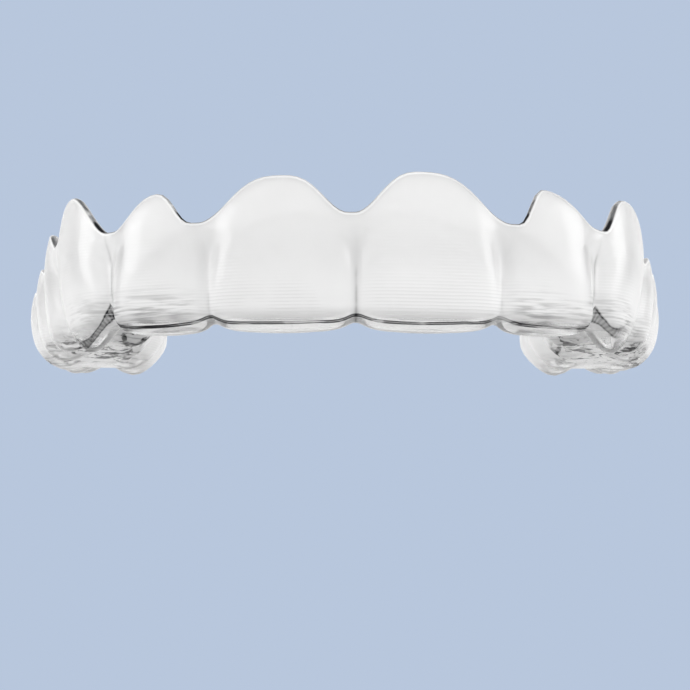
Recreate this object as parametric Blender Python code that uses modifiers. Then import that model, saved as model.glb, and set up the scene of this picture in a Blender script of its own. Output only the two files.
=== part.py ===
"""A clear aligner for the upper teeth: one sheet of clear plastic, formed over fourteen crowns.

It stands on its biting edges with its trimmed gum edge up, and the front of the mouth faces -Y.
Sizes are in millimetres, and the finished mesh is scaled to metres.
The sheet's outer face is found by shooting rays from a ribbon that runs inside the row of teeth.
A Solidify modifier then gives the sheet its thickness, inwards."""

import math
from dataclasses import dataclass, replace

import bmesh
import bpy
import numpy as np

MM = 0.001

# The sheet
WALL = 0.7  # thickness after forming

# The teeth under the sheet
CENTRAL_WIDTH = 9.0  # of a central incisor over the sheet, which sets the size of every crown
EDGE_THICKNESS = 1.3  # of an incisor's biting edge
CROWD = 1.05  # each crown is this much wider than its share of the arch, so that neighbours meet
EDGE_CURVE = 0.22  # how far an incisor's biting edge rises from its middle towards its corners
EDGE_POWER = 2.2
CORNER_RISE = 0.3  # how much more it rises in the corner itself
CORNER_POWER = 12.0  # how square that corner is
CANINE_EDGE = 0.2  # thickness of a canine's biting edge, which is sharper
TIP_AWAY = 0.5  # how far its tip lies from the middle of its crown, away from the midline
TIP_OUT = 0.25  # how far the tip lies out from the arch
TIP_ROUND = 0.45  # the roundness of that tip
CUSP_SLOPE = 0.72  # rise per millimetre away from a cusp's tip
CUSP_BLEND = 0.5  # reach of the fillet between two cusps
RIDGE_INSET = 0.84  # the marginal ridges' place, as a share of the crown's half width
FULLEST = 0.68  # how far up its crown the cheek face is fullest, as a share
GUM_TUCK = 0.35  # how far that face turns back in between there and the trimmed edge
GUM_NARROWING = 0.16  # the share of its width that a crown loses from its contacts to the gum
NARROWING_POWER = 1.4
CONTACTS = 0.3  # how far up a crown its contacts lie, as a share
FACE_SLOPE = 0.28  # the share by which a back tooth's cheek face leans in at its cusps
BACK_SLOPE = 0.22  # the same, palate side
BACK_FULLEST = 0.6  # how far up a back tooth its palate face is fullest
INCISOR_HOLLOW = 1.7  # above 1 makes the palate face of a front tooth hollow
CANINE_HOLLOW = 1.25

# How the hot sheet bridges the hollows and rounds the corners
DRAPE = 0.5  # reach of the fillet between two crowns
CUSP_ROUND = 1.1  # the roundness of cusps and biting edges
CHEEK_GROOVE = 0.95  # how far the groove between two crowns lies behind their faces, cheek side
PALATE_GROOVE = 1.3  # the same, palate side
WEB_GROOVE = 0.35  # how far it lies back in the flat web that the sheet forms below the trimmed edge
WEB_FROM = 4.9  # the height at which the groove begins to turn into that web
WEB_TO = 6.9  # the height at which it has
NOTCH = 0.7  # how far the notch between two biting edges reaches up
CANINE_NOTCH = 0.9  # how much further up it reaches beside a canine

# The trimmed edge
MIDLINE_DIP = 7.55  # its height between the two central incisors, cheek side
MIDLINE_SHIFT = 0.3  # how far that dip lies towards the wearer's right
PALATE_DIP = 0.7  # how far it dips between two crowns, palate side
END_DIP = 0.5  # how far it dips round the last molar
DIP_FROM = 0.95  # the share of the way from a peak at which the line has come down

# The ribbon that the rays start from
KEEL = 4.0  # how far its lower edge lies above a crown's lowest point
INCISOR_KEEL = 3.0
FARTHEST = 10.0  # no ray goes further than this
HALVINGS = 24  # times that the search along a ray halves its step

# How finely the surface is divided
WALL_ROWS = 4
FLOOR_ROWS = 6
END_COLUMNS = 9
GATHER = 0.4  # of half a turn: how strongly a crown's stations gather towards its sides
END_CLEAR = 0.4  # no station lies nearer than this to the ribbon's end


@dataclass
class Crown:
    """One tooth under the sheet. x runs towards the midline, y towards the cheek, z up to the gum."""

    name: str
    width: float  # its share of the arch
    depth: float  # cheek to palate
    bulge: float  # how far its cheek face lies out from the arch
    turn: float  # degrees that the arch has turned at its middle
    cheek: float  # height of the trim line's peak above the table, cheek side
    dip: float  # height of the trim line's dip on the side away from the midline
    palate: float  # height of the trim line's peak, palate side
    lift: float  # height of its lowest point above the table
    columns: int  # stations across it
    peak_breadth: float = 1.1  # above 1 makes the trim line's peak broader than its dips
    peak_shift: float = 0.0  # how far that peak lies towards the midline
    dip_shift: float = 0.0  # how far the dip lies beyond the contact with the next crown
    cusps: tuple = ()  # (x, y, height) of each cusp tip of a back tooth
    ridge: float = 0.0  # height of a back tooth's marginal ridges
    tip_slope: float = 0.0  # of a canine's biting edge on each side of its tip
    side: int = -1  # 1 for the wearer's left, which is +X
    middle: float = 0.0  # its place along the arch

    @property
    def front(self):
        return self.ridge == 0.0


# The wearer's right half, from the midline back, with lengths for a central incisor of ROW_WIDTH
ROW_WIDTH = 9.0
RIGHT_ROW = (
    Crown("central", 9.0, 7.0, 1.6, 6, 9.95, 7.15, 8.9, 0.3, 8, peak_breadth=1.4, dip_shift=0.9),
    Crown("lateral", 6.8, 6.2, 1.4, 19, 9.25, 7.05, 8.2, 0.3, 7, dip_shift=-0.4),
    Crown("canine", 7.9, 7.8, 1.9, 59, 10.15, 7.7, 8.2, -0.4, 8,
          peak_shift=0.4, tip_slope=0.66),
    Crown("first_premolar", 7.0, 7.9, 2.1, 74, 9.25, 7.1, 8.0, 0.3, 7, peak_shift=0.3,
          cusps=((0.0, 0.8, 0.3), (0.3, -3.9, 0.9)), ridge=1.5),
    Crown("second_premolar", 6.8, 8.5, 2.95, 77, 7.9, 6.6, 7.7, 0.2, 7,
          cusps=((0.0, 1.2, 0.2), (0.3, -3.8, 0.6)), ridge=1.4),
    Crown("first_molar", 10.2, 10.6, 4.1, 79, 7.3, 6.3, 7.4, 0.0, 8,
          cusps=((2.4, 1.8, 0.2), (-2.5, 1.7, 0.4), (2.0, -4.0, 0.15), (-2.9, -3.9, 0.7)),
          ridge=1.5),
    Crown("second_molar", 9.6, 10.2, 3.8, 85, 7.2, 6.2, 7.2, 0.4, 8,
          cusps=((2.3, 1.6, 0.5), (-2.3, 1.5, 0.9), (1.9, -4.0, 0.4), (-2.6, -3.8, 1.2)),
          ridge=1.7),
)

# The fields of a crown that grow with it
LENGTHS = ("width", "depth", "bulge", "cheek", "dip", "palate", "lift", "peak_shift", "dip_shift", "ridge")

# Where the wearer's left half differs
LEFT_CHANGES = {
    "central": {"cheek": 10.2, "peak_shift": 0.6},
    "lateral": {"cheek": 9.6, "dip": 7.4, "dip_shift": 0.2, "peak_shift": 0.6},
    "canine": {"cheek": 10.0, "dip": 6.7, "peak_shift": 1.4},
    "first_premolar": {"cheek": 7.7, "dip": 6.5, "peak_shift": 0.0},
}


def smooth_max(a, b, reach):
    """The larger of two fields, rounded over where they are within reach of each other."""
    near = np.maximum(reach - np.abs(a - b), 0.0)
    return np.maximum(a, b) + near * near / (4.0 * reach)


def smooth_min(a, b, reach):
    return -smooth_max(-a, -b, reach)


def sized(crown):
    """A crown with its lengths in proportion to the central incisors' width."""
    share = CENTRAL_WIDTH / ROW_WIDTH
    lengths = {name: getattr(crown, name) * share for name in LENGTHS}
    cusps = tuple(tuple(measure * share for measure in cusp) for cusp in crown.cusps)
    return replace(crown, cusps=cusps, **lengths)


def row_of_crowns():
    """All crowns from the wearer's right to the left, each with its place along the arch."""
    right, left = [], []
    reached = 0.0
    for typical in RIGHT_ROW:
        crown = sized(typical)
        mirrored = sized(replace(typical, **LEFT_CHANGES.get(typical.name, {})))
        middle = reached + crown.width / 2
        right.append(replace(crown, middle=-middle))
        left.append(replace(mirrored, side=1, middle=middle))
        reached += crown.width
    return right[::-1] + left


class Arch:
    """The plan curve through the contact points, by distance from the midline, the wearer's left positive.

    It turns evenly from the middle of one crown to the middle of the next, so it is a chain of arcs."""

    def __init__(self, crowns, step=0.05):
        left = [crown for crown in crowns if crown.side > 0]
        length = left[-1].middle + left[-1].width
        count = int(length / step)
        self.run = np.linspace(0.0, length, count)
        middles = [0.0] + [crown.middle for crown in left]
        turns = [0.0] + [math.radians(crown.turn) for crown in left]
        self.turn = np.interp(self.run, middles, turns)
        between = (self.turn[1:] + self.turn[:-1]) / 2
        steps = np.diff(self.run)
        self.x = np.concatenate([[0.0], np.cumsum(np.cos(between) * steps)])
        self.y = np.concatenate([[0.0], np.cumsum(np.sin(between) * steps)])

    def point(self, along):
        away = np.abs(along)
        x = np.interp(away, self.run, self.x)
        return np.stack([np.sign(along) * x, np.interp(away, self.run, self.y)], axis=-1)

    def tangent(self, along):
        """Unit direction towards the wearer's left."""
        turn = np.interp(np.abs(along), self.run, self.turn) * np.sign(along)
        return np.stack([np.cos(turn), np.sin(turn)], axis=-1)

    def outward(self, along):
        """Unit direction from the palate to the cheek."""
        t = self.tangent(along)
        return np.stack([t[..., 1], -t[..., 0]], axis=-1)


def edge_reach(crown):
    """How far the sheet reaches on each side of the arch at a front tooth's biting edge."""
    return (CANINE_EDGE if crown.tip_slope else EDGE_THICKNESS) / 2 + WALL


def cheek_reach(crown, up):
    """How far the outer face lies from the arch on the cheek side, up the crown from 0 to 1."""
    most = crown.bulge + WALL
    least = edge_reach(crown) if crown.front else (1.0 - FACE_SLOPE) * most
    swell = np.sin(np.clip(up / FULLEST, 0.0, 1.0) * math.pi / 2)
    tuck = GUM_TUCK * np.clip((up - FULLEST) / (1.0 - FULLEST), 0.0, 1.0) ** 2
    return least + (most - least) * swell - tuck


def palate_reach(crown, up):
    """The same on the palate side, where a front tooth is hollow above its edge."""
    most = crown.depth - crown.bulge + WALL
    if not crown.front:
        swell = np.sin(np.clip(up / BACK_FULLEST, 0.0, 1.0) * math.pi / 2)
        return most * (1.0 - BACK_SLOPE + BACK_SLOPE * swell)
    least = edge_reach(crown)
    hollow = CANINE_HOLLOW if crown.tip_slope else INCISOR_HOLLOW
    return least + (most - least) * np.clip(up, 0.0, 1.0) ** hollow


def biting_height(crown, x, y):
    """Height of the outer biting surface above the table at each place on a crown."""
    half_width = crown.width / 2
    if crown.tip_slope:
        away = np.sqrt((x + TIP_AWAY) ** 2 + (y - TIP_OUT) ** 2 + TIP_ROUND**2) - TIP_ROUND
        return crown.lift + crown.tip_slope * away
    if crown.front:
        out = np.abs(x / half_width)
        return crown.lift + EDGE_CURVE * out**EDGE_POWER + CORNER_RISE * out**CORNER_POWER
    height = crown.ridge + CUSP_SLOPE * np.abs(np.abs(x) - RIDGE_INSET * half_width)
    for cusp_x, cusp_y, cusp_z in crown.cusps:
        away = np.sqrt((x - cusp_x) ** 2 + (y - cusp_y) ** 2 + CUSP_ROUND**2) - CUSP_ROUND
        height = smooth_min(height, cusp_z + CUSP_SLOPE * away, CUSP_BLEND)
    return height


def up_the_crown(crown, z):
    return np.clip((z - crown.lift) / (crown.cheek - crown.lift), 0.0, 1.0)


def squareness(crown, cheek_side):
    """The power of the superellipse that is a crown's plan, on each side of its middle."""
    if crown.tip_slope:
        return np.where(cheek_side, 2.5, 2.2)
    if crown.front:
        return np.where(cheek_side, 3.4, 2.3)
    return np.where(cheek_side, 3.0, 2.8)


def crown_field(crown, arch, points):
    """Below zero inside the sheet's outer form over one crown, and above zero outside."""
    middle = np.array([crown.middle])
    plan = points[..., :2] - arch.point(middle)[0]
    x = -crown.side * (plan @ arch.tangent(middle)[0])
    y = plan @ arch.outward(middle)[0]
    z = points[..., 2]
    up = up_the_crown(crown, z)
    cheek = cheek_reach(crown, up)
    palate = palate_reach(crown, up)
    centre = (cheek - palate) / 2
    half_depth = (cheek + palate) / 2
    narrow = 1.0 - GUM_NARROWING * np.clip((up - CONTACTS) / (1.0 - CONTACTS), 0.0, 1.0) ** NARROWING_POWER
    half_width = CROWD * crown.width / 2 * narrow
    power = squareness(crown, y > centre)
    radius = (np.abs(x / half_width) ** power + np.abs((y - centre) / half_depth) ** power) ** (1 / power)
    sides = (radius - 1.0) * (half_width + half_depth) / 2
    return smooth_max(sides, biting_height(crown, x, y) - z, CUSP_ROUND)


def bridge_field(crowns, along, side, away, z):
    """Below zero inside the band that the sheet bridges between the crowns, set back from their faces."""
    middles = np.array([crown.middle for crown in crowns])
    reach = cheek_reach if side > 0 else palate_reach
    groove = CHEEK_GROOVE if side > 0 else PALATE_GROOVE
    faces = np.array([reach(crown, up_the_crown(crown, z)) for crown in crowns])
    notches = [crown.lift + NOTCH + (CANINE_NOTCH if crown.tip_slope else 0.0) for crown in crowns]
    floor = np.interp(along, middles, notches)
    place = np.clip(np.searchsorted(middles, along), 1, len(crowns) - 1)
    share = np.clip((along - middles[place - 1]) / (middles[place] - middles[place - 1]), 0.0, 1.0)
    pick = np.arange(len(along))
    face = faces[place - 1, pick] * (1.0 - share) + faces[place, pick] * share
    web = np.clip((z - WEB_FROM) / (WEB_TO - WEB_FROM), 0.0, 1.0)
    set_back = groove + (min(groove, WEB_GROOVE) - groove) * web * web * (3.0 - 2.0 * web)
    return smooth_max(away - (face - set_back), floor - z, DRAPE)


def trim_height(crowns, along, cheek_side):
    """Height of the trimmed edge, which comes down from a peak over each crown to a dip between two."""
    height = np.zeros(len(along))
    for side in (-1, 1):
        row = sorted((crown for crown in crowns if crown.side == side), key=lambda crown: abs(crown.middle))
        places = [0.0] + [abs(crown.middle) + crown.width / 2 for crown in row]
        if cheek_side:
            peaks = [crown.cheek for crown in row]
            dips = [MIDLINE_DIP] + [crown.dip for crown in row]
            places = [-MIDLINE_SHIFT * side]
            places += [abs(crown.middle) + crown.width / 2 + crown.dip_shift for crown in row]
        else:
            peaks = [crown.palate for crown in row]
            lower = [min(pair) for pair in zip(peaks, peaks[1:] + peaks[-1:])]
            dips = [low - PALATE_DIP for low in [peaks[0], *lower]]
        away = along * side
        for index, crown in enumerate(row):
            peak_at = abs(crown.middle) - crown.peak_shift
            before = away < peak_at
            span = np.where(before, peak_at - places[index], places[index + 1] - peak_at)
            dip = np.where(before, dips[index], dips[index + 1])
            share = np.clip(np.abs(away - peak_at) / (span * DIP_FROM), 0.0, 1.0)
            wave = 0.5 + 0.5 * np.cos(math.pi * share**crown.peak_breadth)
            here = (away >= places[index]) & (away <= places[index + 1])
            height = np.where(here, dip + (peaks[index] - dip) * wave, height)
    return height


def keel_height(crowns, along):
    """Height of the ribbon's lower edge, from which the rays fan out to the biting surface."""
    middles = [crown.middle for crown in crowns]
    rises = [INCISOR_KEEL if crown.front and not crown.tip_slope else KEEL for crown in crowns]
    heights = [crown.lift + rise for crown, rise in zip(crowns, rises)]
    return np.interp(along, middles, heights)


def stations(crowns):
    """Distances along the arch of the cross-sections, closer together near the grooves."""
    found = []
    for crown in crowns:
        angles = np.linspace(-GATHER, GATHER, crown.columns + 2) * math.pi
        spread = np.sin(angles) / math.sin(GATHER * math.pi)
        found += list(crown.middle + spread[:-1] * crown.width / 2)
        if crown.tip_slope:
            found.append(crown.middle + crown.side * TIP_AWAY)
    inset = crowns[0].depth / 2
    first = crowns[0].middle - crowns[0].width / 2 + inset
    last = crowns[-1].middle + crowns[-1].width / 2 - inset
    inner = [along for along in sorted(found) if first + END_CLEAR < along < last - END_CLEAR]
    return np.array([first, *inner, last])


def end_columns(along, start, trim_from, trim_to, keel):
    """Columns that fan round one end of the ribbon, by half a turn."""
    columns = []
    for step in range(1, END_COLUMNS + 1):
        share = step / (END_COLUMNS + 1)
        angle = math.pi * share
        direction = np.array([
            start[0] * math.cos(angle) - start[1] * math.sin(angle),
            start[0] * math.sin(angle) + start[1] * math.cos(angle),
        ])
        trim = trim_from + (trim_to - trim_from) * share - END_DIP * math.sin(angle)
        columns.append((along, 0, direction, trim, keel))
    return columns


def hull_columns(crowns, arch):
    """The columns of the surface, right round the ribbon: cheek side, left end, palate side, right end.

    Each is (distance along the arch, side, plan direction of its rays, trim height, index of its keel
    point). Side is 1 for the cheek, -1 for the palate and 0 round an end."""
    along = stations(crowns)
    out = arch.outward(along)
    cheek = trim_height(crowns, along, True)
    palate = trim_height(crowns, along, False)
    last = len(along) - 1
    columns = [(along[i], 1, out[i], cheek[i], i) for i in range(last + 1)]
    columns += end_columns(along[last], out[last], cheek[last], palate[last], last)
    columns += [(along[i], -1, -out[i], palate[i], i) for i in range(last, -1, -1)]
    columns += end_columns(along[0], -out[0], palate[0], cheek[0], 0)
    return columns, along


def reach_of_rays(crowns, arch, starts, directions, along, side):
    """How far each ray goes before it leaves the sheet's outer form."""

    def field(distance):
        points = starts + directions * distance[:, None]
        least = np.full(len(points), 1e3)
        for crown in crowns:
            least = smooth_min(least, crown_field(crown, arch, points), DRAPE)
        level = distance * np.linalg.norm(directions[:, :2], axis=1)
        for which in (1, -1):
            here = side == which
            if here.any():
                bridge = bridge_field(crowns, along[here], which, level[here], points[here, 2])
                least[here] = smooth_min(least[here], bridge, DRAPE)
        return least

    near = np.zeros(len(starts))
    far = np.full(len(starts), FARTHEST)
    for _ in range(HALVINGS):
        middle = (near + far) / 2
        inside = field(middle) < 0
        near = np.where(inside, middle, near)
        far = np.where(inside, far, middle)
    return (near + far) / 2


def outer_surface(crowns, arch):
    """(grid of points by column and row, keel points, keel index of each column)."""
    columns, along = hull_columns(crowns, arch)
    keel_z = keel_height(crowns, along)
    rows = WALL_ROWS + FLOOR_ROWS
    starts = np.zeros((len(columns), rows, 3))
    directions = np.zeros((len(columns), rows, 3))
    for c, (place, _, direction, trim, keel) in enumerate(columns):
        base = arch.point(np.array([place]))[0]
        for r in range(rows):
            down = max(r - WALL_ROWS, 0) / FLOOR_ROWS * math.pi / 2
            height = trim + (keel_z[keel] - trim) * min(r / WALL_ROWS, 1.0)
            starts[c, r] = (*base, height)
            directions[c, r] = (*(direction * math.cos(down)), -math.sin(down))
    places = np.repeat([column[0] for column in columns], rows)
    sides = np.repeat([column[1] for column in columns], rows)
    starts = starts.reshape(-1, 3)
    directions = directions.reshape(-1, 3)
    distance = reach_of_rays(crowns, arch, starts, directions, places, sides)
    grid = (starts + directions * distance[:, None]).reshape(len(columns), rows, 3)
    keel_starts = np.column_stack([arch.point(along), keel_z])
    down = np.tile([0.0, 0.0, -1.0], (len(along), 1))
    depth = reach_of_rays(crowns, arch, keel_starts, down, along, np.zeros(len(along)))
    return grid, keel_starts + down * depth[:, None], [column[4] for column in columns]


def mesh_of(grid, keel, keel_of):
    """The open outer surface as a mesh: rings of quads that close along the keel."""
    bm = bmesh.new()
    ring = [[bm.verts.new(point) for point in column] for column in grid]
    bottom = [bm.verts.new(point) for point in keel]
    for c, here in enumerate(ring):
        after = ring[(c + 1) % len(ring)]
        for r in range(len(here) - 1):
            bm.faces.new((here[r], here[r + 1], after[r + 1], after[r]))
        low, low_after = bottom[keel_of[c]], bottom[keel_of[(c + 1) % len(ring)]]
        corners = (here[-1], low, after[-1]) if low is low_after else (here[-1], low, low_after, after[-1])
        bm.faces.new(corners)
    bmesh.ops.recalc_face_normals(bm, faces=bm.faces)
    mesh = bpy.data.meshes.new("aligner")
    bm.to_mesh(mesh)
    bm.free()
    return mesh


def clear_plastic():
    """The clear, faintly milky sheet."""
    material = bpy.data.materials.new("clear_plastic")
    material.use_nodes = True
    shader = material.node_tree.nodes["Principled BSDF"]
    shader.inputs["Base Color"].default_value = (0.93, 0.95, 0.96, 1.0)
    shader.inputs["Roughness"].default_value = 0.12
    shader.inputs["Metallic"].default_value = 0.0
    shader.inputs["Transmission Weight"].default_value = 0.7
    shader.inputs["IOR"].default_value = 1.55
    return material


def build():
    for old in list(bpy.data.objects):
        bpy.data.objects.remove(old)
    crowns = row_of_crowns()
    grid, keel, keel_of = outer_surface(crowns, Arch(crowns))
    points = np.concatenate([grid.reshape(-1, 3), keel])
    low, high = points.min(axis=0), points.max(axis=0)
    origin = np.array([(low[0] + high[0]) / 2, (low[1] + high[1]) / 2, low[2]])
    mesh = mesh_of((grid - origin) * MM, (keel - origin) * MM, keel_of)
    mesh.materials.append(clear_plastic())
    mesh.shade_smooth()
    aligner = bpy.data.objects.new("aligner", mesh)
    collection = bpy.data.collections.new("Clear aligner")
    bpy.context.scene.collection.children.link(collection)
    collection.objects.link(aligner)
    wall = aligner.modifiers.new("Wall", "SOLIDIFY")
    wall.thickness = WALL * MM
    wall.offset = -1.0
    wall.use_even_offset = True


build()
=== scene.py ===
"""A clear aligner for the upper teeth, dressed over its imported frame.

The sheet's outer skin is worked out crown by crown, by the rules that its solid follows, but finely, and
with the bridging between the crowns carried on under the trough's middle. A Geometry Nodes tree gives the
skin its wall and its cut edge. Sizes are in millimetres up to the mesh, and in metres from there on."""

import math
from dataclasses import dataclass, replace

import bpy
import numpy as np
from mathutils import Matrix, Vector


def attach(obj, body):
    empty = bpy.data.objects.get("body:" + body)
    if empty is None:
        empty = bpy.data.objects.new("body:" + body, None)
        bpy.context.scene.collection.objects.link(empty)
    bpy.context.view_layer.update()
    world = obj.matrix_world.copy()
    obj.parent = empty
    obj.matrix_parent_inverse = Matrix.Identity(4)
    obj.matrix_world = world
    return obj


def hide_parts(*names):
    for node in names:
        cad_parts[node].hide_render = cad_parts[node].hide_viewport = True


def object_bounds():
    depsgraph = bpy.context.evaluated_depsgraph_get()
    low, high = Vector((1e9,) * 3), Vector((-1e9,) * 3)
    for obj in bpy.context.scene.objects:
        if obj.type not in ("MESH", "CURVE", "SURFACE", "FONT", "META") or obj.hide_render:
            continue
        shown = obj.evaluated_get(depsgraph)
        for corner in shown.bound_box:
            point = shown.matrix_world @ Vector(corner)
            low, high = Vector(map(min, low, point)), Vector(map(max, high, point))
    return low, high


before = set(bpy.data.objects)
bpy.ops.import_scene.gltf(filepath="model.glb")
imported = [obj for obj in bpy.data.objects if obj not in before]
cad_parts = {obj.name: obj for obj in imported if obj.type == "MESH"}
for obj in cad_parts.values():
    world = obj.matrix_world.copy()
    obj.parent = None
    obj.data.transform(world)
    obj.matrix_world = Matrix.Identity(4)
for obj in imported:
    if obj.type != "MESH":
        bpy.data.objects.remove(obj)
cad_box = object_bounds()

MM = 0.001

# The sheet
WALL = 0.7  # thickness after forming
CUT_SQUARENESS = 3.0  # 2 rounds the cut edge fully, and more leaves it squarer
WELD = 0.001  # points of the two skins that lie this near each other become one

# The teeth under the sheet
EDGE_THICKNESS = 1.3  # of an incisor's biting edge
CROWD = 1.05  # each crown is this much wider than its share of the arch, so that neighbours meet
EDGE_CURVE = 0.22  # how far an incisor's biting edge rises from its middle towards its corners
EDGE_POWER = 2.2
CORNER_RISE = 0.3  # how much more it rises in the corner itself
CORNER_POWER = 12.0  # how square that corner is
CANINE_EDGE = 0.2  # thickness of a canine's biting edge, which is sharper
TIP_AWAY = 0.5  # how far its tip lies from the middle of its crown, away from the midline
TIP_OUT = 0.25  # how far the tip lies out from the arch
TIP_ROUND = 0.45  # the roundness of that tip
CUSP_SLOPE = 0.72  # rise per millimetre away from a cusp's tip
CUSP_BLEND = 0.5  # reach of the fillet between two cusps
RIDGE_INSET = 0.84  # the marginal ridges' place, as a share of the crown's half width
FULLEST = 0.68  # how far up its crown the cheek face is fullest, as a share
GUM_TUCK = 0.35  # how far that face turns back in between there and the trimmed edge
GUM_NARROWING = 0.16  # the share of its width that a crown loses from its contacts to the gum
NARROWING_POWER = 1.4
CONTACTS = 0.3  # how far up a crown its contacts lie, as a share
FACE_SLOPE = 0.28  # the share by which a back tooth's cheek face leans in at its cusps
BACK_SLOPE = 0.22  # the same, palate side
INCISOR_PLAN = (3.4, 2.3)  # powers of the superellipse that is a crown's plan: cheek side, palate side
CANINE_PLAN = (2.5, 2.2)
BACK_PLAN = (3.0, 2.8)
BACK_FULLEST = 0.6  # how far up a back tooth its palate face is fullest
INCISOR_HOLLOW = 1.7  # above 1 makes the palate face of a front tooth hollow
CANINE_HOLLOW = 1.25

# How the hot sheet bridges the hollows and rounds the corners
DRAPE = 0.5  # reach of the fillet between two crowns
CUSP_ROUND = 1.1  # the roundness of cusps and biting edges
CHEEK_GROOVE = 0.95  # how far the groove between two crowns lies behind their faces, cheek side
PALATE_GROOVE = 1.3  # the same, palate side
WEB_GROOVE = 0.35  # how far it lies back in the flat web that the sheet forms below the trimmed edge
WEB_FROM = 4.9  # the height at which the groove begins to turn into that web
WEB_TO = 6.9  # the height at which it has
NOTCH = 0.7  # how far the notch between two biting edges reaches up
CANINE_NOTCH = 0.9  # how much further up it reaches beside a canine
BRIDGE_FADE = 3.0  # how far the bridging draws back over the last crown, so that it ends with no step
FADE_PLACES = (0.5, 4.0)  # beyond the last contact: where it begins to draw back, and where it has

# The trimmed edge
MIDLINE_DIP = 7.55  # its height between the two central incisors, cheek side
MIDLINE_SHIFT = 0.3  # how far that dip lies towards the wearer's right
PALATE_DIP = 0.7  # how far it dips between two crowns, palate side
END_DIP = 0.5  # how far it dips round the last molar
DIP_FROM = 0.95  # the share of the way from a peak at which the line has come down

# The ribbon that the rays start from
KEEL = 4.0  # how far its lower edge lies above a crown's lowest point
INCISOR_KEEL = 3.0
FARTHEST = 10.0  # no ray goes further than this
HALVINGS = 20  # times that the search along a ray halves its step
NEARBY = 2.2  # the widths of a crown within which it shapes the sheet
OUTSIDE = 1000.0  # the field's value far outside

# How finely the skin is divided
COLUMNS = 24  # across each crown
END_COLUMNS = 26  # round each end
END_CLEAR = 0.2  # no station lies nearer than this to the ribbon's end
GATHER = 0.4  # of half a turn: how strongly a crown's stations gather towards its sides
RIM_ROWS = (0.0, 0.012, 0.04, 0.09, 0.16, 0.25, 0.36, 0.5)  # distances below the trimmed edge
WALL_ROWS = 18
FLOOR_ROWS = 16

# Marks on the skin, which place the painted dark lines: painted reflections at the trough's corner and the
# cut edge, and painted shade in the creases
CORNER_HEIGHT = 0.36  # of the trough's bottom corner above the biting edge, where it shows in an incisor
CORNER_HALF_BAND = 0.11  # half the height of the band in which it shows
# The same on each canine: its place towards the cheek at the crown's middle, how much nearer to the palate
# it comes for each millimetre to the midline, half its breadth, and its end. -1 is the wearer's right.
CANINE_CORNERS = {-1: (0.75, 0.15, 0.27, -0.5), 1: (1.5, 0.37, 0.34, 0.8)}
CORNER_TURN = 0.3  # half the way along the arch in which the one band turns into the other
CORNER_FADE = 0.7  # half the way across a canine in which its band ends
OFF_THE_BAND = 9.0  # a distance in half bands at which nothing of it shows
# Painted crease shade at the contacts of two crowns
CONTACT_HALF = 0.32  # half the width of the crease at the contact of two crowns
# Where the cut edge climbs, it gets a painted dark reflection line
CLIMB_PLACES = (8.2, 9.6)  # from the midline: where the climbing edge begins to show, and where it does
CLIMB_SLOPES = (0.2, 0.8)  # of the trimmed edge: from which it shows, and at which it shows fully


@dataclass
class Crown:
    """One tooth under the sheet. x runs towards the midline, y towards the cheek, z up to the gum."""

    name: str
    width: float  # its share of the arch
    depth: float  # cheek to palate
    bulge: float  # how far its cheek face lies out from the arch
    turn: float  # degrees that the arch has turned at its middle
    cheek: float  # height of the trim line's peak above the table, cheek side
    dip: float  # height of the trim line's dip on the side away from the midline
    palate: float  # height of the trim line's peak, palate side
    lift: float  # height of its lowest point above the table
    peak_breadth: float = 1.1  # above 1 makes the trim line's peak broader than its dips
    peak_shift: float = 0.0  # how far that peak lies towards the midline
    dip_shift: float = 0.0  # how far the dip lies beyond the contact with the next crown
    cusps: tuple = ()  # (x, y, height) of each cusp tip of a back tooth
    ridge: float = 0.0  # height of a back tooth's marginal ridges
    tip_slope: float = 0.0  # of a canine's biting edge on each side of its tip
    side: int = -1  # 1 for the wearer's left, which is +X
    middle: float = 0.0  # its place along the arch

    @property
    def front(self):
        return self.ridge == 0.0


# The wearer's right half, from the midline back
RIGHT_ROW = (
    Crown("central", 9.0, 7.0, 1.6, 6, 9.95, 7.15, 8.9, 0.3, peak_breadth=1.4, dip_shift=0.9),
    Crown("lateral", 6.8, 6.2, 1.4, 19, 9.25, 7.05, 8.2, 0.3, dip_shift=-0.4),
    Crown("canine", 7.9, 7.8, 1.9, 59, 10.15, 7.7, 8.2, -0.4, peak_shift=0.4, tip_slope=0.66),
    Crown("first_premolar", 7.0, 7.9, 2.1, 74, 9.25, 7.1, 8.0, 0.3, peak_shift=0.3,
          cusps=((0.0, 0.8, 0.3), (0.3, -3.9, 0.9)), ridge=1.5),
    Crown("second_premolar", 6.8, 8.5, 2.95, 77, 7.9, 6.6, 7.7, 0.2,
          cusps=((0.0, 1.2, 0.2), (0.3, -3.8, 0.6)), ridge=1.4),
    Crown("first_molar", 10.2, 10.6, 4.1, 79, 7.3, 6.3, 7.4, 0.0,
          cusps=((2.4, 1.8, 0.2), (-2.5, 1.7, 0.4), (2.0, -4.0, 0.15), (-2.9, -3.9, 0.7)),
          ridge=1.5),
    Crown("second_molar", 9.6, 10.2, 3.8, 85, 7.2, 6.2, 7.2, 0.4,
          cusps=((2.3, 1.6, 0.5), (-2.3, 1.5, 0.9), (1.9, -4.0, 0.4), (-2.6, -3.8, 1.2)),
          ridge=1.7),
)

# Where the wearer's left half differs
LEFT_CHANGES = {
    "central": {"cheek": 10.2, "peak_shift": 0.6},
    "lateral": {"cheek": 9.6, "dip": 7.4, "dip_shift": 0.2, "peak_shift": 0.6},
    "canine": {"cheek": 10.0, "dip": 6.7, "peak_shift": 1.4},
    "first_premolar": {"cheek": 7.7, "dip": 6.5, "peak_shift": 0.0},
}

# The plastic, in metres
LAYER = 0.00021  # from one level line of the mould to the next
# The bars of the painted reflection band on the canines lie this far apart
RUNG = 0.00032  # from one bar of the canines' band to the next
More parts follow.
